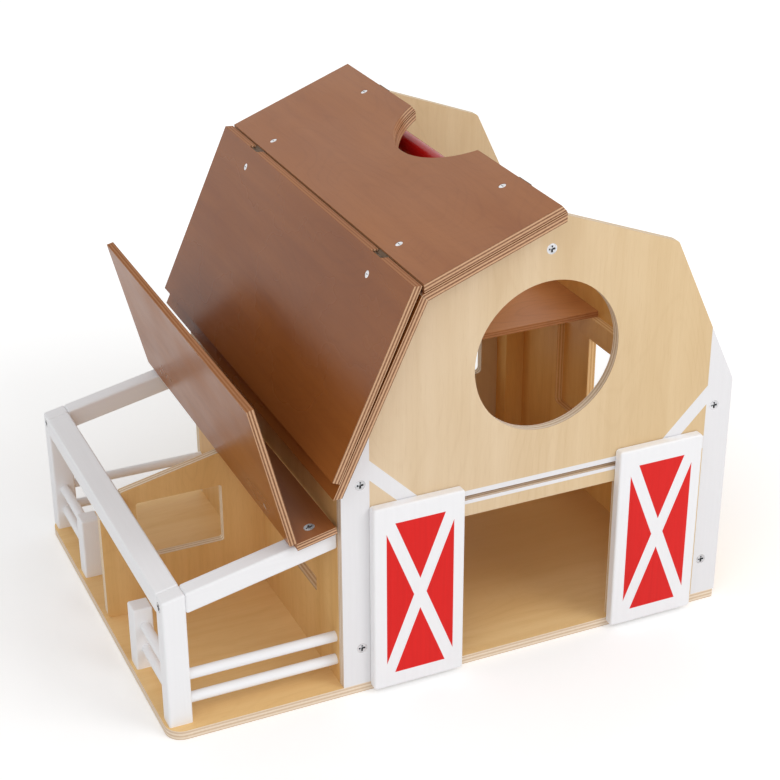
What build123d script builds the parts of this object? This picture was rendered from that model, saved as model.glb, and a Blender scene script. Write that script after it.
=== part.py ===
from build123d import *
import os
from math import cos, radians, sin, tan

# Toy barn with a folding gambrel roof, two sliding doors and a fenced lean-to.
# Millimetres. X runs along the front, Y from front to back, Z up.
# The origin is the middle of the underside of the base.
os.makedirs("parts", exist_ok=True)

# ---------------------------------------------------------------- stock
ply = 9.0                  # base, gables and walls
roof_t = 7.6
loft_t = 6.4
lean_t = 7.0               # lean-to board and flap
door_t = 8.8

# ---------------------------------------------------------------- base
base_w = 566.5
base_d = 404.0
base_r_yard = 16.0         # corners at the yard end
base_r_barn = 3.0

# ---------------------------------------------------------------- barn shell
barn_w = 400.0
eave_h = 233.7             # all heights are above the top of the base
ridge_h = 432.4
upper_pitch = 20.7
lower_pitch = 64.7
eave_r = 12.0
shoulder_r = 6.0
window_h = 296.9
window_r = 72.0
door_open_w = 160.0
door_open_h = 152.5
back_open_w = 280.0
back_open_low = 75.0
back_open_high = 180.0
corner_r = 5.0             # corners of the cut-outs

loft_h = 203.5             # underside of the loft floor
loft_d = 164.0
lining_open_d = 192.0
lining_open_low = 75.0
lining_open_high = 179.5
side_window_d = 140.0
side_window_back = 44.0    # from the middle of the barn to the window's back end
slot_front = 52.8          # from the front gable to the feed slot
slot_len = 80.0
slot_low = 69.0
slot_high = 84.3
slot_r = 2.0

front_post = 19.0          # square posts inside the front corners
front_post_h = 225.0
back_post = 22.0           # square posts inside the back corners

# ---------------------------------------------------------------- doors and track
door_w = 89.8
door_h = 191.0
door_drop = 5.0            # how far the doors hang below the top of the base
door_gap = 0.7             # between the gable and the back of a door
door_edge = 2.0
door_corner = 3.0
track_h = 171.0
track_gap = 4.8
stud_r = 2.1
stud_spacing = 48.0
stud_depth = 6.0           # how far a stud is screwed into its door
collar_r = 5.0
retainer_r = 7.0
retainer_t = 2.6
run_gap = 0.25             # between sliding faces
left_door_shift = 128.4    # from the middle of the barn to the middle of the door
right_door_shift = 121.0

# ---------------------------------------------------------------- roof
overhang = 24.7
left_lower_end = 18.1      # how far the fixed lower panel reaches below the eave
lower_len = 185.0
ridge_gap = 0.4            # from the ridge line to each upper panel
mitre_gap = 0.5
fold_gap = 1.0             # between the two upper panels when they are stacked
seat_gap = 0.15            # between the closed swinging pair and the gables
grip_w = 146.0
grip_depth = 50.0
upper_end_out = 0.3        # swinging upper panel: end past the shoulder, outer face
upper_end_in = -1.9        # and inner face
shoulder_axis_out = 5.0    # hinge line past the shoulder
shoulder_axis_rise = 2.0   # and out from the inner face
lower_top_out = -2.4       # top end of the swinging lower panel, outer face
lower_top_in = 0.3         # and inner face
upper_turn = 180.0 + 2 * upper_pitch
lower_turn = 88.9

handle_r = 12.5
handle_drop = 33.9         # from the ridge line to the middle of the handle

# ---------------------------------------------------------------- hinges
hinge_w = 20.0
hinge_front = 53.0         # from the front face of the barn to the front hinges
hinge_back = 53.0          # from the back face of the barn to the back hinges
leaf_t = 1.2
leaf_len = 24.0
knuckle_r = 2.0
pin_r = 1.1
pin_fit = 0.05
knuckle_gap = 0.3
wedge_start = 1.2          # wedges in the lower panel's end let the upper leaves swing
wedge_turn = 50.0
wedge_len = 12.0
ridge_leaf_tilt = 15.0
cross_head_r = 3.4
cross_head_h = 0.9
cross_r = 1.4
cross_sink = 0.4
cross_len = 6.2
cross_slot_w = 0.8
ridge_cross = 17.0         # cross screws from the ridge line
upper_cross = 16.0         # from the shoulder, in the upper panel
lower_cross = 19.3         # from the shoulder, in the lower panel
lean_cross = 14.0          # from the facing edges of the board and the flap

# ---------------------------------------------------------------- yard and lean-to
yard_w = base_w - barn_w
lean_pitch = 12.0
lean_h = 165.0             # top of the rafters at the barn wall
post_w = 22.0
post_d = 18.0
post_inset_x = 3.0
post_inset_y = 9.5
back_inset_y = 2.0
rafter_h = 20.0
beam_low = 111.0
gate_post = 19.0
gate_post_h = 65.0
white_edge = 2.0           # rounding of the white bars and posts
gate_front = 115.5         # middle of the front gate post, from the front
gate_back = 288.5
rail_r = 5.0
rail_low = 21.0
rail_high = 46.0
socket = 5.0
rail_fit = 0.05
divider_at = 204.5
divider_margin_barn = 41.6 # from the barn wall to the divider's window
divider_margin_post = 13.6 # from the yard posts to the window
divider_window_low = 58.0
divider_window_high = 120.2
divider_window_r = 2.5
divider_r = 6.0
board_from = 2.6
board_to = 40.9
board_front = 2.0          # from the front of the barn to the board's front end
flap_axis = 2.3            # from the board's edge to the hinge line
flap_start = 4.2           # from the hinge line to the flap's edge
flap_len = 142.5
flap_tilt = 14.0           # how far the open flap leans out from upright

# ---------------------------------------------------------------- screws
screw_head_r = 5.0
screw_head_h = 2.8
screw_r = 1.9
screw_len = 24.0
screw_fit = 0.05
recess_w = 1.9
recess_l = 6.4
recess_d = 1.7
gable_screw_low = 39.0
gable_screw_high = 190.0
gable_screw_top = 209.0
yard_screw_drop = 8.0      # below the rafters' top face

# ---------------------------------------------------------------- derived places
half = barn_w / 2
barn_x = base_w / 2 - half                 # middle of the barn
front_y = -base_d / 2
back_y = base_d / 2
inner_front = front_y + ply
inner_back = back_y - ply
tan_up = tan(radians(upper_pitch))
tan_low = tan(radians(lower_pitch))
shoulder_u = (eave_h - ridge_h + half * tan_low) / (tan_low - tan_up)
shoulder_h = ridge_h - shoulder_u * tan_up
ridge_axis_h = ridge_h + (roof_t + fold_gap / 2) / cos(radians(upper_pitch))
hinge_centres = (front_y + hinge_front, back_y - hinge_back)
roof_front = front_y - overhang
roof_back = back_y + overhang
track_len = 2 * (left_door_shift + stud_spacing / 2) + track_gap + 2 * run_gap
door_low = -door_drop
door_back = front_y - door_gap
yard_out = -half - yard_w                  # outer edge of the base, from the barn's middle
post_out = yard_out + post_inset_x
post_in = post_out + post_w
corral_front = front_y + post_inset_y      # front face of the front yard posts
corral_back = back_y - back_inset_y        # back face of the back yard posts
front_rail_y = corral_front + post_d / 2
back_rail_y = corral_back - post_d / 2
side_rail_u = post_out + post_w / 2


def section(y, u=0.0, h=0.0, turn=0.0):
    """Plane across the barn at y. Local x runs right, local y up, both from (u, h)."""
    along = (cos(radians(turn)), 0, sin(radians(turn)))
    return Plane(origin=(barn_x + u, y, base_z + h), x_dir=along, z_dir=(0, -1, 0))


def side(u):
    """Upright plane facing right at u. Local x runs back, local y up from the base."""
    return Plane(origin=(barn_x + u, 0, base_z), x_dir=(0, 1, 0), z_dir=(1, 0, 0))


def level(h):
    """Level plane h above the base, with its middle under the ridge."""
    return Plane(origin=(barn_x, 0, base_z + h), x_dir=(1, 0, 0), z_dir=(0, 0, 1))


def step(start, angle, along, rise=0.0):
    """Point reached from start by going along a line at angle, then square to its left."""
    a = radians(angle)
    return (start[0] + along * cos(a) - rise * sin(a), start[1] + along * sin(a) + rise * cos(a))


def turned(point, centre, angle):
    """Point turned about centre, counter-clockwise as seen from the front."""
    return step(centre, angle, point[0] - centre[0], point[1] - centre[1])


def seen_from(origin, points):
    """The points' places as seen from origin."""
    return [(point[0] - origin[0], point[1] - origin[1]) for point in points]


def lean_top(u):
    """Height of the rafters' top face at u."""
    return lean_h + (u + half) * tan(radians(lean_pitch))


def at(u, y, h, turn=(0, 0, 0)):
    """Location from the barn's middle line, with its turn in degrees."""
    return Location((barn_x + u, y, base_z + h), turn)


base_z = ply               # top of the base
ridge_axis = (0.0, ridge_axis_h)
shoulder = (shoulder_u, shoulder_h)
shoulder_axis = step(shoulder, -upper_pitch, shoulder_axis_out, shoulder_axis_rise)
folded_axis = turned(shoulder_axis, ridge_axis, upper_turn)
left_shoulder = (-shoulder_u, shoulder_h)
lean_start = (-half, lean_h)
flap_pivot = step(lean_start, lean_pitch, -board_to - flap_axis, lean_t / 2)
flap_turn = 90.0 + flap_tilt

# Screw places: point at the outer face and the turn that points local Z out of it.
front_turn = (90, 0, 0)
back_turn = (-90, 0, 0)
under_turn = (180, 0, 0)
yard_turn = (0, -90, 0)
front_screw_u = half - ply - front_post / 2
back_screw_u = half - 2 * ply - back_post / 2
handle_h = ridge_h - handle_drop
peak_screws = [at(0, front_y, handle_h, front_turn), at(0, back_y, handle_h, back_turn)]
front_screws = [at(s * front_screw_u, front_y, h, front_turn)
                for s in (-1, 1) for h in (gable_screw_low, gable_screw_top)]
back_screws = [at(s * back_screw_u, back_y, h, back_turn)
               for s in (-1, 1) for h in (gable_screw_low, gable_screw_high)]
yard_screws = [at(post_out, y, lean_top(post_out) - yard_screw_drop, yard_turn)
               for y in (front_rail_y, back_rail_y)]
board_screw = step(lean_start, lean_pitch, -(board_from + board_to) / 2, lean_t)
board_screws = [at(board_screw[0], y, board_screw[1], (0, -lean_pitch, 0))
                for y in (front_rail_y, back_rail_y)]
base_screws = [at(s * front_screw_u, inner_front + front_post / 2, -ply, under_turn) for s in (-1, 1)]
base_screws += [at(s * back_screw_u, inner_back - back_post / 2, -ply, under_turn) for s in (-1, 1)]
base_screws += [at(side_rail_u, y, -ply, under_turn) for y in (front_rail_y, back_rail_y)]
base_screws += [at(post_out + gate_post / 2, front_y + y, -ply, under_turn) for y in (gate_front, gate_back)]


top = (Align.CENTER, Align.CENTER, Align.MAX)
bottom = (Align.CENTER, Align.CENTER, Align.MIN)


def countersink(places):
    """Cuts a countersunk screw hole into the part at each place."""
    with Locations(*places):
        Cone(screw_r + screw_fit, screw_head_r + screw_fit, screw_head_h, align=top,
             mode=Mode.SUBTRACT)
        Cylinder(screw_r + screw_fit, screw_len + screw_fit, align=top, mode=Mode.SUBTRACT)


def screws(places):
    """Countersunk cross-recess screws, one at each place."""
    with BuildPart() as group:
        with Locations(*places):
            Cone(screw_r, screw_head_r, screw_head_h, align=top)
            Cylinder(screw_r, screw_len, align=top)
            Box(recess_w, recess_l, recess_d, align=top, mode=Mode.SUBTRACT)
            Box(recess_l, recess_w, recess_d, align=top, mode=Mode.SUBTRACT)
    return group


def hinge_cut(pivot, turn, length, radius, mode, spans):
    """Plates, or bars where length is 0, of both hinges on a line, over the given widths."""
    for centre in hinge_centres:
        for near, far in spans:
            with BuildSketch(section(centre - hinge_w / 2 + far, *pivot, turn)) as profile:
                if length:
                    with Locations((length / 2, 0)):
                        Rectangle(length, 2 * radius)
                else:
                    Circle(radius)
            extrude(profile.sketch, amount=far - near, mode=mode)


third = hinge_w / 3
whole = ((0.0, hinge_w),)
wide = ((-knuckle_gap, hinge_w + knuckle_gap),)
middle_knuckle = ((third + knuckle_gap / 2, 2 * third - knuckle_gap / 2),)
end_knuckles = ((0.0, third - knuckle_gap / 2), (2 * third + knuckle_gap / 2, hinge_w))
middle_space = ((third - knuckle_gap / 2, 2 * third + knuckle_gap / 2),)
end_spaces = ((0.0, third + knuckle_gap / 2), (2 * third - knuckle_gap / 2, hinge_w))


def leaves(pivot, turn, middle, holes):
    """The two leaves on one side of a hinge line, drilled for their cross screws."""
    own = middle_knuckle if middle else end_knuckles
    other = end_spaces if middle else middle_space
    with BuildPart() as pair:
        hinge_cut(pivot, turn, leaf_len, leaf_t / 2, Mode.ADD, whole)
        hinge_cut(pivot, turn, 0, knuckle_r + knuckle_gap, Mode.SUBTRACT, other)
        hinge_cut(pivot, turn, 0, knuckle_r, Mode.ADD, own)
        hinge_cut(pivot, turn, 0, pin_r + pin_fit, Mode.SUBTRACT, whole)
        with Locations(*holes):
            Cylinder(cross_r + pin_fit, leaf_len, mode=Mode.SUBTRACT)
    return pair


def pins(pivot):
    """The two pins on one hinge line."""
    with BuildPart() as pair:
        hinge_cut(pivot, 0, 0, pin_r, Mode.ADD, whole)
    return pair


def let_in(pivot, turn, holes):
    """Cuts the slots, knuckle notches and screw holes of two leaves into a panel."""
    hinge_cut(pivot, turn, leaf_len, leaf_t / 2, Mode.SUBTRACT, whole)
    hinge_cut(pivot, turn, 0, knuckle_r + knuckle_gap, Mode.SUBTRACT, wide)
    with Locations(*holes):
        Cylinder(cross_head_r + pin_fit, cross_head_h + cross_sink, align=top, mode=Mode.SUBTRACT)
        Cylinder(cross_r + pin_fit, cross_len + cross_sink + pin_fit, align=top, mode=Mode.SUBTRACT)


def swing_wedges(pivot, turn):
    """Cuts the wedges in which the opposite leaves swing, open away from the panel's own leaves."""
    apex = step(pivot, turn, wedge_start)
    for centre in hinge_centres:
        near = centre - hinge_w / 2 - knuckle_gap
        panel([(0, 0)] + [step((0, 0), 180 + side_of * wedge_turn, wedge_len) for side_of in (-1, 1)],
              near, near + hinge_w + 2 * knuckle_gap, apex, turn, Mode.SUBTRACT)


def cross_screws(places):
    """Small slotted screws, sunk a little below the face, one at each place."""
    with BuildPart() as group:
        with Locations(*places):
            with Locations((0, 0, -cross_sink)):
                Cylinder(cross_head_r, cross_head_h, align=top)
                Cylinder(cross_r, cross_len, align=top)
                Box(cross_slot_w, cross_head_r, cross_head_h / 2, align=top, mode=Mode.SUBTRACT)
    return group


def cross_places(point, normal):
    """Screw places on a face through point, where normal is the face's angle from +X."""
    return [at(point[0], y, point[1], (0, 90 - normal, 0)) for y in hinge_centres]


def panel(points, y_from, y_to, frame=(0.0, 0.0), turn=0.0, mode=Mode.ADD):
    """Adds or cuts a sheet from its end outline, drawn in a frame that may be turned."""
    with BuildSketch(section(y_to, *frame, turn)) as profile:
        with BuildLine() as outline:
            Polyline(*points, close=True)
        make_face(outline.edges())
    extrude(profile.sketch, amount=y_to - y_from, mode=mode)


def save(piece, name):
    """Labels a finished piece and writes it."""
    piece.part.label = name
    export_step(piece.part, f"parts/{name}.step")


# ================================================================ base and shell
with BuildPart() as base_plate:
    with BuildSketch(Plane.XY):
        Rectangle(base_w, base_d)
        fillet(vertices().group_by(Axis.X)[0], base_r_yard)
        fillet(vertices().group_by(Axis.X)[-1], base_r_barn)
    extrude(amount=ply)
    countersink(base_screws)
save(base_plate, "base_plate")

gable_outline = [(-half, 0), (half, 0), (half, eave_h), shoulder, (0, ridge_h),
                 (-shoulder_u, shoulder_h), (-half, eave_h)]


def gable_face():
    """Gambrel outline with softened eaves and shoulders."""
    with BuildLine() as outline:
        Polyline(*gable_outline, close=True)
    make_face(outline.edges())
    for height, radius in ((eave_h, eave_r), (shoulder_h, shoulder_r)):
        fillet(vertices().filter_by_position(Axis.Y, height - 1, height + 1), radius)


with BuildPart() as front_gable:
    with BuildSketch(section(inner_front)):
        gable_face()
        with Locations((0, window_h)):
            Circle(window_r, mode=Mode.SUBTRACT)
        with Locations((0, door_open_h / 2)):
            Rectangle(door_open_w, door_open_h, mode=Mode.SUBTRACT)
        with Locations((0, track_h)):
            SlotOverall(track_len, track_gap, mode=Mode.SUBTRACT)
    extrude(amount=ply)
    countersink(front_screws + peak_screws[:1])
save(front_gable, "front_gable")

with BuildPart() as back_gable:
    with BuildSketch(section(back_y)):
        gable_face()
        with Locations((0, (back_open_low + back_open_high) / 2)):
            RectangleRounded(back_open_w, back_open_high - back_open_low, corner_r, mode=Mode.SUBTRACT)
    extrude(amount=ply)
    countersink(back_screws + peak_screws[1:])
save(back_gable, "back_gable")


def side_wall(hand):
    """Wall between the gables, bevelled on top to follow the roof. hand is -1 left, 1 right."""
    outer = hand * half
    inner = hand * (half - ply)
    panel([(outer, 0), (inner, 0), (inner, eave_h + ply * tan_low), (outer, eave_h)],
          inner_front, inner_back)


def opening(u, y_from, y_to, low, high, depth=ply, radius=corner_r):
    """Cuts a round-cornered hole through an upright wall that starts at u."""
    with BuildSketch(side(u)) as hole:
        with Locations(((y_from + y_to) / 2, (low + high) / 2)):
            RectangleRounded(y_to - y_from, high - low, radius)
    extrude(hole.sketch, amount=depth, mode=Mode.SUBTRACT)


with BuildPart() as left_side_wall:
    side_wall(-1)
    opening(-half, front_y + ply + slot_front, front_y + ply + slot_front + slot_len,
            slot_low, slot_high, radius=slot_r)
save(left_side_wall, "left_side_wall")

with BuildPart() as right_side_wall:
    side_wall(1)
    opening(half - ply, side_window_back - side_window_d, side_window_back,
            lining_open_low, back_open_high)
save(right_side_wall, "right_side_wall")


def loft_support(hand):
    """Lining inside a side wall that carries the loft floor, with one large opening."""
    start = half - 2 * ply if hand > 0 else ply - half
    with BuildPart() as lining:
        panel([(start, 0), (start + ply, 0), (start + ply, loft_h), (start, loft_h)],
              inner_front + front_post, inner_back)
        opening(start, -lining_open_d / 2, lining_open_d / 2, lining_open_low, lining_open_high)
    return lining


save(loft_support(-1), "loft_support_left")
save(loft_support(1), "loft_support_right")


def corner_post(u, y, width, height, places):
    """Square post inside a corner of the barn, centred on (u, y)."""
    with BuildPart() as post:
        with BuildSketch(level(0)):
            with Locations((u, y)):
                Rectangle(width, width)
        extrude(amount=height)
        countersink(places)
    return post


for hand, name in ((-1, "left"), (1, "right")):
    save(corner_post(hand * front_screw_u, inner_front + front_post / 2, front_post, front_post_h,
                     front_screws + base_screws), f"barn_post_front_{name}")
    save(corner_post(hand * back_screw_u, inner_back - back_post / 2, back_post, loft_h,
                     back_screws + base_screws), f"barn_post_back_{name}")

with BuildPart() as loft_floor:
    with BuildSketch(level(loft_h)):
        with Locations((0, inner_back - loft_d / 2)):
            Rectangle(barn_w - 2 * ply, loft_d)
    extrude(amount=loft_t)
save(loft_floor, "loft_floor")

with BuildPart() as carry_handle:
    with BuildSketch(section(inner_back, 0, handle_h)):
        Circle(handle_r)
    extrude(amount=inner_back - inner_front)
    countersink(peak_screws)
save(carry_handle, "carry_handle")

# ================================================================ roof
mitre = tan(radians((lower_pitch - upper_pitch) / 2))
outer_ridge_h = ridge_h + roof_t / cos(radians(upper_pitch))
lower_end_h = eave_h - left_lower_end
sin_low = sin(radians(lower_pitch))


def grip():
    """Cuts the hand hold, a segment of a circle, into a panel's ridge edge over the handle."""
    radius = (grip_w ** 2 / 4 + grip_depth ** 2) / (2 * grip_depth)
    normal = (-sin(radians(upper_pitch)), 0, cos(radians(upper_pitch)))
    edge = Plane(origin=(barn_x, 0, base_z + ridge_axis_h), x_dir=(0, 1, 0), z_dir=normal)
    with BuildSketch(edge) as hole:
        with Locations((0, grip_depth - radius)):
            Circle(radius)
    extrude(hole.sketch, amount=2 * roof_t, both=True, mode=Mode.SUBTRACT)


ridge_fixed_turn = 180 + upper_pitch + ridge_leaf_tilt
ridge_fixed_holes = cross_places(step((0, ridge_h), 180 + upper_pitch, ridge_cross), upper_pitch - 90)

with BuildPart() as roof_left_upper:
    panel([(-ridge_gap, ridge_h - ridge_gap * tan_up),
           (-ridge_gap, outer_ridge_h - ridge_gap * tan_up),
           step(left_shoulder, upper_pitch, mitre_gap / 2 - roof_t * mitre, roof_t),
           step(left_shoulder, upper_pitch, mitre_gap / 2)], roof_front, roof_back)
    grip()
    let_in(ridge_axis, ridge_fixed_turn, ridge_fixed_holes)
save(roof_left_upper, "roof_left_upper")

inner_end = (shoulder_h - lower_end_h) / sin_low
outer_end = (shoulder_h + roof_t * cos(radians(lower_pitch)) - lower_end_h) / sin_low
with BuildPart() as roof_left_lower:
    panel([step(left_shoulder, lower_pitch, -mitre_gap / 2),
           step(left_shoulder, lower_pitch, roof_t * mitre - mitre_gap / 2, roof_t),
           step(left_shoulder, lower_pitch, -outer_end, roof_t),
           step(left_shoulder, lower_pitch, -inner_end)], roof_front, roof_back)
save(roof_left_lower, "roof_left_lower")

# The swinging pair is drawn as it lies closed on the right, then turned about its hinge lines.
ridge_swing_turn = upper_turn - upper_pitch - ridge_leaf_tilt
ridge_swing_point = turned(step((0, ridge_h), -upper_pitch, ridge_cross), ridge_axis, upper_turn)
ridge_swing_holes = cross_places(ridge_swing_point, upper_turn - upper_pitch - 90)
upper_leaf_turn = upper_turn + 180 - upper_pitch
upper_leaf_point = turned(step(shoulder, -upper_pitch, -upper_cross), ridge_axis, upper_turn)
upper_leaf_holes = cross_places(upper_leaf_point, upper_turn - upper_pitch - 90)
closed_to_folded = upper_turn + lower_turn
lower_leaf_turn = closed_to_folded - lower_pitch
lower_leaf_point = turned(turned(step(shoulder, -lower_pitch, lower_cross), ridge_axis, upper_turn),
                          folded_axis, lower_turn)
lower_leaf_holes = cross_places(lower_leaf_point, closed_to_folded - lower_pitch - 90)

with BuildPart() as roof_right_upper:
    panel(seen_from(ridge_axis, [
        (ridge_gap, ridge_h - ridge_gap * tan_up + seat_gap / cos(radians(upper_pitch))),
        (ridge_gap, outer_ridge_h - ridge_gap * tan_up),
        step(shoulder, -upper_pitch, upper_end_out, roof_t),
        step(shoulder, -upper_pitch, upper_end_in, seat_gap)]),
        roof_front, roof_back, ridge_axis, upper_turn)
    grip()
    let_in(ridge_axis, ridge_swing_turn, ridge_swing_holes)
    let_in(folded_axis, upper_leaf_turn, upper_leaf_holes)
save(roof_right_upper, "roof_right_upper")

with BuildPart() as roof_right_lower:
    panel(seen_from(shoulder_axis, [
        step(shoulder, -lower_pitch, lower_top_in, seat_gap),
        step(shoulder, -lower_pitch, lower_top_out, roof_t),
        step(shoulder, -lower_pitch, lower_top_out + lower_len, roof_t),
        step(shoulder, -lower_pitch, lower_top_out + lower_len, seat_gap)]),
        roof_front, roof_back, folded_axis, closed_to_folded)
    let_in(folded_axis, lower_leaf_turn, lower_leaf_holes)
    swing_wedges(folded_axis, lower_leaf_turn)
save(roof_right_lower, "roof_right_lower")

# ================================================================ doors
rear_of_stud = inner_front + run_gap + retainer_t


def door(u):
    """Door leaf with rounded-over front edges and blind holes for its two studs."""
    with BuildPart() as leaf:
        with BuildSketch(section(door_back)):
            with Locations((u, door_low + door_h / 2)):
                RectangleRounded(door_w, door_h, door_corner)
        extrude(amount=door_t)
        fillet(faces().sort_by(Axis.Y)[0].edges(), door_edge)
        with Locations(*stud_places(u, door_back - stud_depth)):
            Cylinder(stud_r + pin_fit, stud_depth, align=bottom, mode=Mode.SUBTRACT)
    return leaf


def stud_places(u, y):
    """The middles of a door's two studs at y, with local Z pointing back."""
    return [at(u + side_of * stud_spacing / 2, y, track_h, back_turn) for side_of in (-1, 1)]


def studs(u):
    """The two studs that hang a door in the track, each with a collar against the gable."""
    with BuildPart() as pair:
        with Locations(*stud_places(u, door_back - stud_depth)):
            Cylinder(stud_r, rear_of_stud - door_back + stud_depth, align=bottom)
        with Locations(*stud_places(u, door_back)):
            Cylinder(collar_r, door_gap - run_gap, align=bottom)
    return pair


def retainers(u):
    """The two discs that hold a door's studs in the track from inside the gable."""
    with BuildPart() as pair:
        with Locations(*stud_places(u, inner_front + run_gap)):
            Cylinder(retainer_r, retainer_t, align=bottom)
            Cylinder(stud_r + pin_fit, retainer_t, align=bottom, mode=Mode.SUBTRACT)
    return pair


for u, name in ((-left_door_shift, "left"), (right_door_shift, "right")):
    save(door(u), f"door_{name}")
    save(studs(u), f"door_{name}_studs")
    save(retainers(u), f"door_{name}_retainers")

# ================================================================ yard
wall_end = -half
gate_front_y = front_y + gate_front
gate_back_y = front_y + gate_back
to_right = (0, 90, 0)
across = wall_end - post_in + socket
front_run = gate_front_y - gate_post / 2 - corral_front - post_d + 2 * socket
back_run = corral_back - post_d - gate_back_y - gate_post / 2 + 2 * socket
rails = {}
for h, level_name in ((rail_low, "low"), (rail_high, "high")):
    rails[f"rail_front_{level_name}"] = (at(post_in - socket, front_rail_y, h, to_right), across)
    rails[f"rail_back_{level_name}"] = (at(post_in - socket, back_rail_y, h, to_right), across)
    rails[f"rail_side_front_{level_name}"] = (
        at(side_rail_u, corral_front + post_d - socket, h, back_turn), front_run)
    rails[f"rail_side_back_{level_name}"] = (
        at(side_rail_u, gate_back_y + gate_post / 2 - socket, h, back_turn), back_run)


def sockets():
    """Cuts the blind holes of the rails into a post."""
    for place, length in rails.values():
        with Locations(place):
            Cylinder(rail_r + rail_fit, length, align=bottom, mode=Mode.SUBTRACT)


for name, (place, length) in rails.items():
    with BuildPart() as rail:
        with Locations(place):
            Cylinder(rail_r, length, align=bottom)
    save(rail, name)


def sloped(u_from, u_to, low_from, low_to, y_from, y_to):
    """Bar whose top follows the lean-to's slope, from its two lower corners."""
    panel([(u_from, low_from), (u_to, low_to), (u_to, lean_top(u_to)), (u_from, lean_top(u_from))],
          y_from, y_to)


rafter_drop = rafter_h / cos(radians(lean_pitch))
for y, name in ((corral_front, "front"), (corral_back - post_d, "back")):
    with BuildPart() as yard_post:
        sloped(post_out, post_in, 0, 0, y, y + post_d)
        fillet(edges().sort_by(Axis.Z)[4:], white_edge)
        sockets()
        countersink(yard_screws + base_screws)
    save(yard_post, f"yard_post_{name}")
    with BuildPart() as rafter:
        sloped(post_in, wall_end, lean_top(post_in) - rafter_drop, lean_h - rafter_drop, y, y + post_d)
        fillet(edges(), white_edge)
        countersink(yard_screws + board_screws)
    save(rafter, f"rafter_{name}")

for y, name in ((gate_front_y, "front"), (gate_back_y, "back")):
    with BuildPart() as gate:
        with BuildSketch(level(0)):
            with Locations((post_out + gate_post / 2, y)):
                Rectangle(gate_post, gate_post)
        extrude(amount=gate_post_h)
        fillet(edges().sort_by(Axis.Z)[4:], white_edge)
        sockets()
        countersink(base_screws)
    save(gate, f"gate_post_{name}")

with BuildPart() as outer_beam:
    sloped(post_out, post_in, beam_low, beam_low, corral_front + post_d, corral_back - post_d)
    fillet(edges(), white_edge)
save(outer_beam, "outer_beam")

with BuildPart() as stall_divider:
    with BuildSketch(section(front_y + divider_at + ply / 2)):
        with BuildLine():
            Polyline((post_out, 0), (wall_end, 0), (wall_end, lean_h), (post_in, lean_top(post_in)),
                     (post_in, beam_low), (post_out, beam_low), close=True)
        make_face()
        fillet(vertices().group_by(Axis.Y)[0].sort_by(Axis.X)[0], divider_r)
        window_from = post_in + divider_margin_post
        window_to = wall_end - divider_margin_barn
        with Locations(((window_from + window_to) / 2, (divider_window_low + divider_window_high) / 2)):
            RectangleRounded(window_to - window_from, divider_window_high - divider_window_low,
                             divider_window_r, mode=Mode.SUBTRACT)
    extrude(amount=ply)
save(stall_divider, "stall_divider")

# ================================================================ lean-to roof
board_holes = cross_places(step(flap_pivot, lean_pitch, flap_axis + lean_cross, -lean_t / 2),
                           lean_pitch - 90)
flap_holes = cross_places(step(flap_pivot, flap_turn, flap_start + lean_cross, lean_t / 2),
                          flap_turn + 90)
lean_ends = (front_y + board_front, back_y + board_front)

with BuildPart() as lean_to_board:
    panel([step(lean_start, lean_pitch, -board_from), step(lean_start, lean_pitch, -board_from, lean_t),
           step(lean_start, lean_pitch, -board_to, lean_t), step(lean_start, lean_pitch, -board_to)],
          *lean_ends)
    countersink(board_screws)
    let_in(flap_pivot, lean_pitch, board_holes)
save(lean_to_board, "lean_to_board")

with BuildPart() as lean_to_flap:
    panel([(flap_start, -lean_t / 2), (flap_start + flap_len, -lean_t / 2),
           (flap_start + flap_len, lean_t / 2), (flap_start, lean_t / 2)],
          *lean_ends, flap_pivot, flap_turn)
    let_in(flap_pivot, flap_turn, flap_holes)
save(lean_to_flap, "lean_to_flap")

# ================================================================ hinges and screws
save(leaves(ridge_axis, ridge_fixed_turn, True, ridge_fixed_holes), "ridge_hinge_fixed_leaves")
save(leaves(ridge_axis, ridge_swing_turn, False, ridge_swing_holes), "ridge_hinge_swing_leaves")
save(pins(ridge_axis), "ridge_hinge_pins")
save(leaves(folded_axis, upper_leaf_turn, True, upper_leaf_holes), "shoulder_hinge_upper_leaves")
save(leaves(folded_axis, lower_leaf_turn, False, lower_leaf_holes), "shoulder_hinge_lower_leaves")
save(pins(folded_axis), "shoulder_hinge_pins")
save(leaves(flap_pivot, lean_pitch, True, board_holes), "flap_hinge_board_leaves")
save(leaves(flap_pivot, flap_turn, False, flap_holes), "flap_hinge_flap_leaves")
save(pins(flap_pivot), "flap_hinge_pins")

save(cross_screws(ridge_fixed_holes), "cross_screws_left_upper")
save(cross_screws(ridge_swing_holes + upper_leaf_holes), "cross_screws_right_upper")
save(cross_screws(lower_leaf_holes), "cross_screws_right_lower")
save(cross_screws(board_holes), "cross_screws_board")
save(cross_screws(flap_holes), "cross_screws_flap")

save(screws(front_screws + back_screws + peak_screws), "gable_screws")
save(screws(yard_screws + board_screws), "yard_screws")
save(screws(base_screws), "base_screws")
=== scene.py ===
"""Looks of the toy barn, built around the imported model. Metres, in the row's frame."""
from math import cos, radians, sin

import bpy
from mathutils import Matrix, Vector

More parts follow.
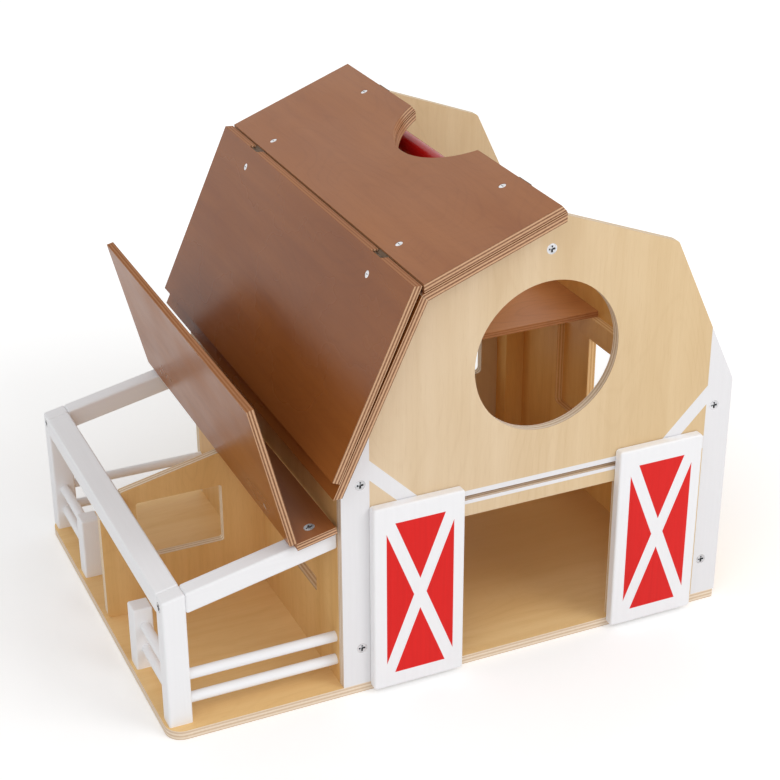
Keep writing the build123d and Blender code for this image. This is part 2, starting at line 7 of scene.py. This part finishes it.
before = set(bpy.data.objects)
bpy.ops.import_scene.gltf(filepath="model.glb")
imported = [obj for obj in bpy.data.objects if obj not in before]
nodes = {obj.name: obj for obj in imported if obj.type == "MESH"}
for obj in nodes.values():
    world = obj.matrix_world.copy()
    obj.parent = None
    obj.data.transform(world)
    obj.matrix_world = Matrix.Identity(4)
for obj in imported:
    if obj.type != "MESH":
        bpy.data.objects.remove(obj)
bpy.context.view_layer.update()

# ---------------------------------------------------------------- measures
BARN_X = 0.08325           # middle of the barn
BASE_TOP = 0.009
INNER_HALF = 0.191         # from the barn's middle to the inside of its side walls
UPPER_PITCH = 20.7
LOWER_PITCH = 64.7
UPPER_TURN = 221.4         # how far the upper right panel is folded back
LOWER_TURN = 88.9
LEAN_PITCH = 12.0
FLAP_TURN = 104.0
BAND_IN = 0.1727           # white paint on the front, from the barn's middle
BRACE_LOW = 0.0392         # height less distance from the middle
BRACE_HIGH = 0.0588
TRACK_LOW = 0.1649
TRACK_HIGH = 0.1786
DOOR_MIDS = {"door_left": BARN_X - 0.1277, "door_right": BARN_X + 0.1215}
CROSS_H = 0.0899           # middle of a door's cross above the base
CROSS_SLOPE = 2.55
CROSS_HALF = 0.0156
FIELD_HALF = 0.0332        # red field of a door
FIELD_LOW = 0.0100
FIELD_HIGH = 0.1686
FACE_FROM, FACE_FULL = 0.55, 0.65    # how squarely a surface faces to count as a sheet's face
FRONT_FROM, FRONT_FULL = 0.85, 0.95  # the same for paint that keeps to one side
CROSS_SOFT = 0.0004        # width over which the edge of a door's cross fades
FAR_OUT = 1.0              # a length beyond the whole part, for a band with one open side

# ---------------------------------------------------------------- grain, in waves per metre
FIGURE_SCALE = (5.0, 26.0)           # along the grain, across it
RING_SCALE = (3.2, 11.0)
RING_COUNT = 26.0
FIBRE_SCALE = (55.0, 1400.0)
STREAK_SCALE = (2.0, 120.0)
WOBBLE_SCALE = (30.0, 30.0)
GRIT_SCALE = (420.0, 420.0)
BLOTCH_SCALE = (9.0, 14.0)
BRUSH_ALONG, BRUSH_ACROSS = 14.0, 380.0
EDGE_ROUGHNESS = 0.62
WOOD_BUMP = 0.00006        # heights of the bumps, metres
PAINT_BUMP = 0.00008
METAL_BUMP = 0.00003
PLASTIC_BUMP = 0.00004


def srgb(red, green, blue):
    """Linear colour of an 8-bit sRGB colour."""
    parts = [c / 255 for c in (red, green, blue)]
    return tuple(c / 12.92 if c <= 0.04045 else ((c + 0.055) / 1.055) ** 2.4 for c in parts) + (1,)


# ---------------------------------------------------------------- materials
class Material:
    """One node material around a Principled shader, with helpers that add and link nodes."""

    def __init__(self, name):
        self.made = bpy.data.materials.new(name)
        self.made.use_nodes = True
        self.tree = self.made.node_tree
        self.tree.nodes.clear()
        self.shader = self.add("ShaderNodeBsdfPrincipled")
        self.add("ShaderNodeOutputMaterial", {"Surface": self.shader.outputs[0]})
        place = self.add("ShaderNodeTexCoord")
        self.point = place.outputs["Object"]
        self.normal = place.outputs["Normal"]

    def add(self, kind, values=None, **settings):
        node = self.tree.nodes.new(kind)
        for key, value in settings.items():
            setattr(node, key, value)
        for key, value in (values or {}).items():
            self.feed(node.inputs[key], value)
        return node

    def feed(self, socket, value):
        if isinstance(value, bpy.types.NodeSocket):
            self.tree.links.new(value, socket)
        else:
            socket.default_value = value

    def set(self, **values):
        for key, value in values.items():
            self.feed(self.shader.inputs[key.replace("_", " ")], value)

    def math(self, operation, a, b=0.0, c=0.0):
        return self.add("ShaderNodeMath", {0: a, 1: b, 2: c}, operation=operation).outputs[0]

    def times(self, a, b):
        return self.math("MULTIPLY", a, b)

    def stretched(self, scale):
        """The point with each axis multiplied by its own scale."""
        return self.add("ShaderNodeVectorMath", {0: self.point, 1: scale},
                        operation="MULTIPLY").outputs[0]

    def facing(self, direction, low, high):
        """0 to 1 as the surface turns towards the direction."""
        return self.span(self.dot(self.normal, direction), low, high)

    def dot(self, vector, direction):
        node = self.add("ShaderNodeVectorMath", {0: vector, 1: direction}, operation="DOT_PRODUCT")
        return node.outputs["Value"]

    def vector(self, x, y, z):
        return self.add("ShaderNodeCombineXYZ", {0: x, 1: y, 2: z}).outputs[0]

    def noise(self, vector, detail=2.0, roughness=0.5, distortion=0.0):
        node = self.add("ShaderNodeTexNoise", {
            "Vector": vector, "Scale": 1.0, "Detail": detail, "Roughness": roughness,
            "Distortion": distortion})
        return node.outputs[0]

    def grain(self, along, across, scale, depth, detail=2.0, roughness=0.5, distortion=0.0):
        """Noise stretched by its own scales along and across the grain."""
        return self.noise(self.vector(self.times(along, scale[0]), self.times(across, scale[1]),
                                      depth), detail, roughness, distortion)

    def span(self, value, low, high, to_low=0.0, to_high=1.0, smooth=False):
        node = self.add("ShaderNodeMapRange", {
            "Value": value, "From Min": low, "From Max": high, "To Min": to_low,
            "To Max": to_high}, interpolation_type="SMOOTHSTEP" if smooth else "LINEAR")
        return node.outputs[0]

    def mix(self, share, a, b, blend="MIX"):
        node = self.add("ShaderNodeMix", {0: share, 6: a, 7: b}, data_type="RGBA", blend_type=blend)
        return node.outputs[2]

    def between(self, value, low, high, soft=0.0002):
        """1 where value lies between low and high, with edges soft wide."""
        rise = self.span(value, low - soft, low + soft)
        fall = self.span(value, high - soft, high + soft, 1.0, 0.0)
        return self.math("MULTIPLY", rise, fall)

    def all(self, *masks):
        result = masks[0]
        for mask in masks[1:]:
            result = self.math("MULTIPLY", result, mask)
        return result

    def any(self, *masks):
        result = masks[0]
        for mask in masks[1:]:
            result = self.math("MAXIMUM", result, mask)
        return result

    def bump(self, height, distance, strength=1.0):
        node = self.add("ShaderNodeBump", {"Height": height, "Distance": distance,
                                           "Strength": strength})
        self.feed(self.shader.inputs["Normal"], node.outputs[0])


X, Y, Z = Vector((1, 0, 0)), Vector((0, 1, 0)), Vector((0, 0, 1))


def tilted(angle):
    """Direction at an angle from +X in the plane across the barn."""
    return Vector((cos(radians(angle)), 0, sin(radians(angle))))


PALE = {"light": srgb(232, 207, 168), "dark": srgb(217, 188, 144), "line": srgb(198, 163, 116),
        "ply_light": srgb(238, 222, 198), "ply_dark": srgb(204, 176, 140), "plies": 5,
        "figure": 0.12, "roughness": 0.48, "gloss": 0.3}
BASE = dict(PALE, light=srgb(244, 208, 150), dark=srgb(230, 187, 124), line=srgb(202, 154, 92),
            ply_light=srgb(240, 222, 200), ply_dark=srgb(216, 188, 158), figure=0.10)
# Painted shade: a deeper golden for the base's floor inside the barn.
BASE_PAINTED_SHADE = srgb(206, 152, 86)
COOL_TINT = (0.98, 1.0, 1.10, 1)   # the front gable's veneer is paler on the left
WARM_TINT = (0.96, 0.93, 0.88, 1)
# Painted shade: the same birch ply as PALE, made golden to stand in for the shade over the left wall
# and the stall divider.
GOLDEN_SHADE = {"light": srgb(232, 192, 132), "dark": srgb(212, 166, 102), "line": srgb(178, 128, 70),
          "ply_light": srgb(240, 222, 196), "ply_dark": srgb(206, 174, 134), "plies": 5,
          "figure": 0.10, "roughness": 0.42, "gloss": 0.3}
# Painted shade: a deeper golden still, for the right wall, the loft supports and the posts in the
# barn's shade.
DEEP_GOLDEN_SHADE = dict(GOLDEN_SHADE, light=srgb(246, 203, 126), dark=srgb(228, 175, 98), line=srgb(188, 130, 64),
            ply_light=srgb(240, 202, 146), ply_dark=srgb(216, 168, 108))
BROWN = {"light": srgb(165, 104, 56), "dark": srgb(147, 87, 44), "line": srgb(114, 63, 31),
         "ply_light": srgb(208, 166, 130), "ply_dark": srgb(122, 78, 50), "plies": 5,
         "figure": 0.12, "roughness": 0.34, "gloss": 0.32}
# Painted shade: the lower roof panels are the same stained ply as the upper ones, made darker for the
# shade near the flap.
LOWER_SHADED = dict(BROWN, light=srgb(155, 92, 42), dark=srgb(134, 74, 32), gloss=0.27, roughness=0.28)
FLAP = dict(BROWN, light=srgb(158, 96, 44), dark=srgb(139, 79, 34), gloss=0.15, roughness=0.30)
# Painted light: the loft floor is the roof's brown stain, made lighter for the light falling on it
# through the open roof.
LOFT_LIT = dict(BROWN, light=srgb(196, 130, 76), dark=srgb(178, 112, 60))


def wood(mat, look, along, across, seed):
    """Rotary-cut veneer: broad figure, contour lines, fibres. Gives its colour and height."""
    broad = mat.grain(along, across, FIGURE_SCALE, seed, 2.0, 0.55)
    rings = mat.times(mat.grain(along, across, RING_SCALE, seed + 7.3, 1.5, 0.5, 0.25), RING_COUNT)
    ring = mat.math("ABSOLUTE", mat.math("SUBTRACT", mat.math("FRACT", rings), 0.5))
    line = mat.span(ring, 0.30, 0.5, smooth=True)
    fibre = mat.grain(along, across, FIBRE_SCALE, seed + 3.1, 2.0, 0.6)
    streak = mat.grain(along, across, STREAK_SCALE, seed + 5.9, 3.0, 0.6)
    share = mat.math("ADD", mat.times(broad, 0.9), mat.times(streak, 0.5))
    share = mat.span(share, 0.38, 1.02)
    colour = mat.mix(share, look["light"], look["dark"])
    lined = mat.times(line, mat.span(broad, 0.35, 0.65, 0.25, 1.0))
    colour = mat.mix(mat.times(lined, look["figure"]), colour, look["line"])
    specks = mat.span(fibre, 0.56, 0.74, 0.0, 0.22)
    colour = mat.mix(specks, colour, look["line"])
    height = mat.math("ADD", mat.times(fibre, 0.7), mat.times(line, -0.3))
    return colour, height


def edge_plies(mat, look, through, along, across, seed):
    """Layers of a sheet seen on its edge, through from 0 to 1."""
    wobble = mat.grain(along, across, WOBBLE_SCALE, seed + 1.7)
    drift = mat.times(mat.math("SUBTRACT", wobble, 0.5), 0.05)
    layer = mat.times(mat.math("ADD", through, drift), look["plies"] / 2)
    saw = mat.math("ABSOLUTE", mat.math("SUBTRACT", mat.math("FRACT", layer), 0.5))
    dark = mat.span(saw, 0.20, 0.30, smooth=True)
    grit = mat.grain(along, across, GRIT_SCALE, mat.times(through, 9.0), 2.0, 0.6)
    share = mat.math("ADD", mat.times(dark, 0.85), mat.span(grit, 0.3, 0.7, -0.12, 0.18))
    share = mat.math("MAXIMUM", mat.math("MINIMUM", share, 1.0), 0.0)
    return mat.mix(share, look["ply_light"], look["ply_dark"]), mat.times(dark, -1.0)


def sheet_material(node, look, normal, grain, seed, stained_sides=None):
    """Plywood for one panel: veneer on its faces, layers on its edges, stained over on some."""
    mat = Material(f"{node}_ply")
    cross = normal.cross(grain)
    reach = [v.co.dot(normal) for v in nodes[node].data.vertices]
    low, high = min(reach), max(reach)
    through = mat.span(mat.dot(mat.point, normal), low, high)
    along = mat.dot(mat.point, grain)
    across = mat.dot(mat.point, cross)
    face = mat.span(mat.math("ABSOLUTE", mat.dot(mat.normal, normal)), FACE_FROM, FACE_FULL)
    veneer, height = wood(mat, look, along, across, seed)
    plies, ply_height = edge_plies(mat, look, through, along, across, seed)
    if stained_sides is not None:
        stained = mat.span(mat.math("ABSOLUTE", mat.dot(mat.normal, stained_sides)), FACE_FROM,
                           FACE_FULL)
        plies = mat.mix(mat.times(stained, 0.72), plies, veneer)
    colour = mat.mix(face, plies, veneer)
    raised = mat.mix(face, mat.vector(ply_height, ply_height, ply_height),
                     mat.vector(height, height, height))
    roughness = mat.span(face, 0.0, 1.0, EDGE_ROUGHNESS, look["roughness"])
    blotch = mat.grain(along, across, BLOTCH_SCALE, seed + 11.0, 3.0)
    roughness = mat.math("ADD", roughness, mat.span(blotch, 0.3, 0.7, -0.05, 0.06))
    mat.set(Base_Color=colour, Roughness=roughness, Specular_IOR_Level=look["gloss"])
    mat.bump(raised, WOOD_BUMP, 0.6)
    return mat, colour


def painted(mat, base, along, seed, worn=0.02):
    """Brushed satin paint over wood: a little colour drift, with the grain showing through."""
    x, y, z = (mat.dot(mat.point, axis) for axis in (X, Y, Z))
    parts = [mat.times(value, BRUSH_ALONG if axis is along else BRUSH_ACROSS)
             for value, axis in ((x, X), (y, Y), (z, Z))]
    brushed = mat.noise(mat.vector(*parts), 3.0, 0.55)
    cloud = mat.noise(mat.stretched((9.0 + seed, 11.0, 8.0)), 3.0)
    darker = tuple(c * (1 - worn * 1.8) for c in base[:3]) + (1,)
    share = mat.math("ADD", mat.span(brushed, 0.35, 0.7, 0.0, 0.5),
                     mat.span(cloud, 0.3, 0.7, 0.0, 0.5))
    return mat.mix(share, base, darker), brushed


WHITE = srgb(245, 245, 247)
BAND_WHITE = srgb(236, 235, 237)
RED = srgb(226, 24, 20)
PAINT_GLOSS = 0.25


def white_wood(name, along, seed):
    mat = Material(name)
    colour, brushed = painted(mat, WHITE, along, seed)
    mat.set(Base_Color=colour, Roughness=mat.span(brushed, 0.3, 0.7, 0.36, 0.46),
            Specular_IOR_Level=PAINT_GLOSS)
    mat.bump(brushed, PAINT_BUMP, 0.5)
    return mat


def front_paint(mat):
    """White bands, braces and door track painted on the gable's front face."""
    out = mat.math("ABSOLUTE", mat.math("SUBTRACT", mat.dot(mat.point, X), BARN_X))
    height = mat.math("SUBTRACT", mat.dot(mat.point, Z), BASE_TOP)
    side = mat.between(out, BAND_IN, FAR_OUT)
    slant = mat.math("SUBTRACT", height, out)
    brace = mat.all(mat.between(slant, BRACE_LOW, BRACE_HIGH), mat.between(height, TRACK_LOW, FAR_OUT))
    track = mat.all(mat.between(height, TRACK_LOW, TRACK_HIGH),
                    mat.between(out, -FAR_OUT, BAND_IN))
    front = mat.facing(-Y, FRONT_FROM, FRONT_FULL)
    return mat.all(mat.any(side, brace, track), front)


def door_material(node):
    """White paint with two red fields, parted by a slanting cross."""
    mat = Material(f"{node}_paint")
    white, brushed = painted(mat, WHITE, Z, 2.0)
    red = painted(mat, RED, Z, 5.0, 0.06)[0]
    off = mat.math("SUBTRACT", mat.dot(mat.point, X), DOOR_MIDS[node])
    height = mat.math("SUBTRACT", mat.dot(mat.point, Z), BASE_TOP)
    rise = mat.math("SUBTRACT", height, CROSS_H)
    lean = mat.times(off, CROSS_SLOPE)
    clear = [mat.span(mat.math("ABSOLUTE", mat.math(sign, rise, lean)), CROSS_HALF - CROSS_SOFT,
                      CROSS_HALF + CROSS_SOFT) for sign in ("ADD", "SUBTRACT")]
    field = mat.all(mat.between(off, -FIELD_HALF, FIELD_HALF),
                    mat.between(height, FIELD_LOW, FIELD_HIGH), *clear,
                    mat.facing(-Y, FRONT_FROM, FRONT_FULL))
    mat.set(Base_Color=mat.mix(field, white, red),
            Roughness=mat.span(brushed, 0.3, 0.7, 0.36, 0.46), Specular_IOR_Level=PAINT_GLOSS)
    mat.bump(mat.math("ADD", brushed, mat.times(field, 0.4)), PAINT_BUMP, 0.5)
    return mat


HOLLOW_REACH = 0.0025      # painted shade: a screw's recess is darkened where a surface is nearer than this
RECESS_PAINTED_SHADE = srgb(34, 44, 52)


def metal(name, base, low, high, stretch):
    """Plated steel with fine turning or brushing marks, a few dull patches and painted shade in its
    recesses.
    """
    mat = Material(name)
    marks = mat.noise(mat.stretched(stretch), 3.0, 0.6)
    patches = mat.noise(mat.stretched((300.0, 300.0, 300.0)))
    dull = tuple(c * 0.72 for c in base[:3]) + (1,)
    hollow = mat.add("ShaderNodeAmbientOcclusion", {"Distance": HOLLOW_REACH}, samples=8)
    open_air = mat.span(hollow.outputs["AO"], 0.35, 0.80)
    plated = mat.mix(mat.span(patches, 0.4, 0.7), base, dull)
    mat.set(Base_Color=mat.mix(open_air, RECESS_PAINTED_SHADE, plated),
            Metallic=mat.span(open_air, 0.0, 1.0, 0.3),
            Roughness=mat.span(marks, 0.3, 0.7, low, high))
    mat.bump(marks, METAL_BUMP, 0.5)
    return mat


def assign(names, material):
    for name in names:
        slots = nodes[name].data.materials
        slots.clear()
        slots.append(material.made)


lower_closed = -LOWER_PITCH + UPPER_TURN + LOWER_TURN
panels = {
    "base_plate": (BASE, Z, X), "front_gable": (PALE, Y, Z), "back_gable": (PALE, Y, Z),
    "left_side_wall": (GOLDEN_SHADE, X, Z), "right_side_wall": (DEEP_GOLDEN_SHADE, X, Z),
    "loft_support_left": (DEEP_GOLDEN_SHADE, X, Z), "loft_support_right": (DEEP_GOLDEN_SHADE, X, Z),
    "stall_divider": (GOLDEN_SHADE, Y, Z), "loft_floor": (LOFT_LIT, Z, X),
    "roof_left_upper": (BROWN, tilted(UPPER_PITCH + 90), Y),
    "roof_left_lower": (LOWER_SHADED, tilted(LOWER_PITCH + 90), Y),
    "roof_right_upper": (BROWN, tilted(UPPER_TURN - UPPER_PITCH + 90), Y),
    "roof_right_lower": (LOWER_SHADED, tilted(lower_closed + 90), Y),
    "lean_to_board": (BROWN, tilted(LEAN_PITCH + 90), Y),
    "lean_to_flap": (FLAP, tilted(FLAP_TURN + 90), Y),
}
for number, (name, (look, normal, grain)) in enumerate(panels.items()):
    stained_sides = normal.cross(grain) if look in (BROWN, LOWER_SHADED, FLAP, LOFT_LIT) else None
    sheet, colour = sheet_material(name, look, normal, grain, 3.7 * number, stained_sides)
    if name == "front_gable":
        warmth = sheet.span(sheet.dot(sheet.point, X), BARN_X - 0.12, BARN_X + 0.16, smooth=True)
        tint = sheet.mix(warmth, COOL_TINT, WARM_TINT)
        colour = sheet.mix(1.0, colour, tint, "MULTIPLY")
        mask = front_paint(sheet)
        white, brushed = painted(sheet, BAND_WHITE, Z, 1.0)
        sheet.set(Base_Color=sheet.mix(mask, colour, white))
    # Painted shade: the base's floor inside the barn, back from its front, is mixed towards a deeper
    # golden for the barn's shade.
    if name == "base_plate":
        inside = sheet.all(
            sheet.between(sheet.dot(sheet.point, X), BARN_X - INNER_HALF, BARN_X + INNER_HALF,
                          0.01),
            sheet.span(sheet.dot(sheet.point, Y), -0.20, -0.06, smooth=True),
            sheet.facing(Z, FRONT_FROM, FRONT_FULL))
        sheet.set(Base_Color=sheet.mix(inside, colour, sheet.mix(0.75, colour, BASE_PAINTED_SHADE)))
    assign([name], sheet)

# Painted shade: the barn's posts take the deeper golden that stands in for the shade inside the barn.
posts = Material("barn_posts_wood")
post_colour, post_height = wood(posts, DEEP_GOLDEN_SHADE, posts.dot(posts.point, Z), posts.math(
    "ADD", posts.dot(posts.point, X), posts.dot(posts.point, Y)), 91.0)
posts.set(Base_Color=post_colour, Roughness=0.45, Specular_IOR_Level=GOLDEN_SHADE["gloss"])
posts.bump(post_height, WOOD_BUMP, 0.6)
assign(["barn_post_front_left", "barn_post_front_right", "barn_post_back_left",
        "barn_post_back_right"], posts)

assign(["yard_post_front", "yard_post_back", "gate_post_front", "gate_post_back"],
       white_wood("white_posts", Z, 1.0))
assign(["rafter_front", "rafter_back", "rail_front_low", "rail_front_high", "rail_back_low",
        "rail_back_high"], white_wood("white_cross_bars", X, 2.0))
assign(["outer_beam", "rail_side_front_low", "rail_side_front_high", "rail_side_back_low",
        "rail_side_back_high"], white_wood("white_long_bars", Y, 3.0))
for name in DOOR_MIDS:
    assign([name], door_material(name))

handle = Material("handle_red_gloss")
red, brushed = painted(handle, srgb(172, 12, 14), Y, 4.0, 0.08)
handle.set(Base_Color=red, Roughness=handle.span(brushed, 0.3, 0.7, 0.20, 0.28),
           Specular_IOR_Level=0.18)
handle.bump(brushed, WOOD_BUMP, 0.4)
assign(["carry_handle"], handle)

screw_steel = metal("screw_steel", srgb(214, 214, 216), 0.22, 0.40, (900.0, 900.0, 900.0))
assign(["gable_screws", "yard_screws", "base_screws"], screw_steel)
cross_steel = metal("cross_screw_steel", srgb(240, 240, 242), 0.25, 0.42, (700.0, 700.0, 700.0))
assign(["cross_screws_left_upper", "cross_screws_right_upper", "cross_screws_right_lower",
        "cross_screws_board", "cross_screws_flap"], cross_steel)
hinge_steel = metal("hinge_steel", srgb(104, 82, 62), 0.34, 0.54, (60.0, 1200.0, 60.0))
assign([n for n in nodes if "_leaves" in n or "_pins" in n], hinge_steel)
assign(["door_left_studs", "door_right_studs"], screw_steel)

plastic = Material("retainer_plastic")
grain = plastic.noise(plastic.stretched((1500.0, 1500.0, 1500.0)))
plastic.set(Base_Color=plastic.mix(grain, srgb(228, 226, 220), srgb(208, 205, 198)),
            Roughness=plastic.span(grain, 0.3, 0.7, 0.45, 0.58))
plastic.bump(grain, PLASTIC_BUMP, 0.4)
assign(["door_left_retainers", "door_right_retainers"], plastic)

# ---------------------------------------------------------------- stage
AMBIENT = 0.64
FLOOR_GLOW = 0.25
FAR_GLOW = 0.45
GLOW_FROM, GLOW_TO = 0.35, 1.0       # metres from the middle over which the glow grows
FLOOR_DROP = 0.0002                  # the floor lies this far under the base
AIM = (0.05, 0.0, 0.2)


def straight_rays(tree):
    """1 for rays that show the background: camera, glossy and transmission rays."""
    path = tree.nodes.new("ShaderNodeLightPath")
    seen = path.outputs["Is Camera Ray"]
    for name in ("Is Glossy Ray", "Is Transmission Ray"):
        either = tree.nodes.new("ShaderNodeMath")
        either.operation = "MAXIMUM"
        tree.links.new(seen, either.inputs[0])
        tree.links.new(path.outputs[name], either.inputs[1])
        seen = either.outputs[0]
    return seen


def scaled(tree, value, low, high):
    node = tree.nodes.new("ShaderNodeMapRange")
    tree.links.new(value, node.inputs["Value"])
    node.inputs["To Min"].default_value = low
    node.inputs["To Max"].default_value = high
    return node.outputs[0]


world = bpy.data.worlds.new("studio")
world.use_nodes = True
bpy.context.scene.world = world
background = world.node_tree.nodes["Background"]
background.inputs["Color"].default_value = (1, 1, 1, 1)
world.node_tree.links.new(scaled(world.node_tree, straight_rays(world.node_tree), AMBIENT, 1.0),
                          background.inputs["Strength"])

bpy.ops.mesh.primitive_plane_add(size=12.0, location=(0, 0, -FLOOR_DROP))
floor = bpy.context.object
floor.name = "studio_floor"
paper = bpy.data.materials.new("floor_paper")
paper.use_nodes = True
tree = paper.node_tree
tree.nodes.clear()
diffuse = tree.nodes.new("ShaderNodeBsdfDiffuse")
diffuse.inputs["Color"].default_value = (0.88, 0.88, 0.88, 1)
glow = tree.nodes.new("ShaderNodeEmission")
where = tree.nodes.new("ShaderNodeTexCoord")
away = tree.nodes.new("ShaderNodeVectorMath")
away.operation = "LENGTH"
tree.links.new(where.outputs["Object"], away.inputs[0])
far = tree.nodes.new("ShaderNodeMapRange")
tree.links.new(away.outputs["Value"], far.inputs["Value"])
for socket, value in (("From Min", GLOW_FROM), ("From Max", GLOW_TO), ("To Min", FLOOR_GLOW),
                      ("To Max", FAR_GLOW)):
    far.inputs[socket].default_value = value
shown = tree.nodes.new("ShaderNodeMath")
shown.operation = "MULTIPLY"
tree.links.new(straight_rays(tree), shown.inputs[0])
tree.links.new(far.outputs[0], shown.inputs[1])
tree.links.new(shown.outputs[0], glow.inputs["Strength"])
both = tree.nodes.new("ShaderNodeAddShader")
tree.links.new(diffuse.outputs[0], both.inputs[0])
tree.links.new(glow.outputs[0], both.inputs[1])
output = tree.nodes.new("ShaderNodeOutputMaterial")
tree.links.new(both.outputs[0], output.inputs["Surface"])
floor.data.materials.append(paper)


def lamp(name, place, size, power):
    light = bpy.data.lights.new(name, "AREA")
    light.shape = "DISK"
    light.size = size
    light.energy = power
    holder = bpy.data.objects.new(name, light)
    bpy.context.scene.collection.objects.link(holder)
    holder.location = place
    holder.rotation_euler = (Vector(AIM) - Vector(place)).to_track_quat("-Z", "Y").to_euler()


lamp("key", (1.7, -2.3, 2.2), 2.0, 34.0)
lamp("fill", (-1.6, -2.0, 2.2), 2.4, 17.0)

# ---------------------------------------------------------------- camera
CAMERA_PLACE = (-0.62956, -1.44295, 0.99090)
CAMERA_HEADING = -24.291             # degrees
CAMERA_DOWN = 26.753                 # degrees below level
CAMERA_ROLL = -0.221
LENS = 82.76                         # mm, on a sensor 36 mm wide

view = bpy.data.cameras.new("camera")
view.lens = LENS
view.sensor_width = 36.0
view.clip_start = 0.05
camera = bpy.data.objects.new("camera", view)
bpy.context.scene.collection.objects.link(camera)
camera.matrix_world = (Matrix.Translation(CAMERA_PLACE)
                       @ Matrix.Rotation(radians(CAMERA_HEADING), 4, "Z")
                       @ Matrix.Rotation(radians(90 - CAMERA_DOWN), 4, "X")
                       @ Matrix.Rotation(radians(CAMERA_ROLL), 4, "Z"))
bpy.context.scene.camera = camera
bpy.context.scene.view_settings.view_transform = "Standard"
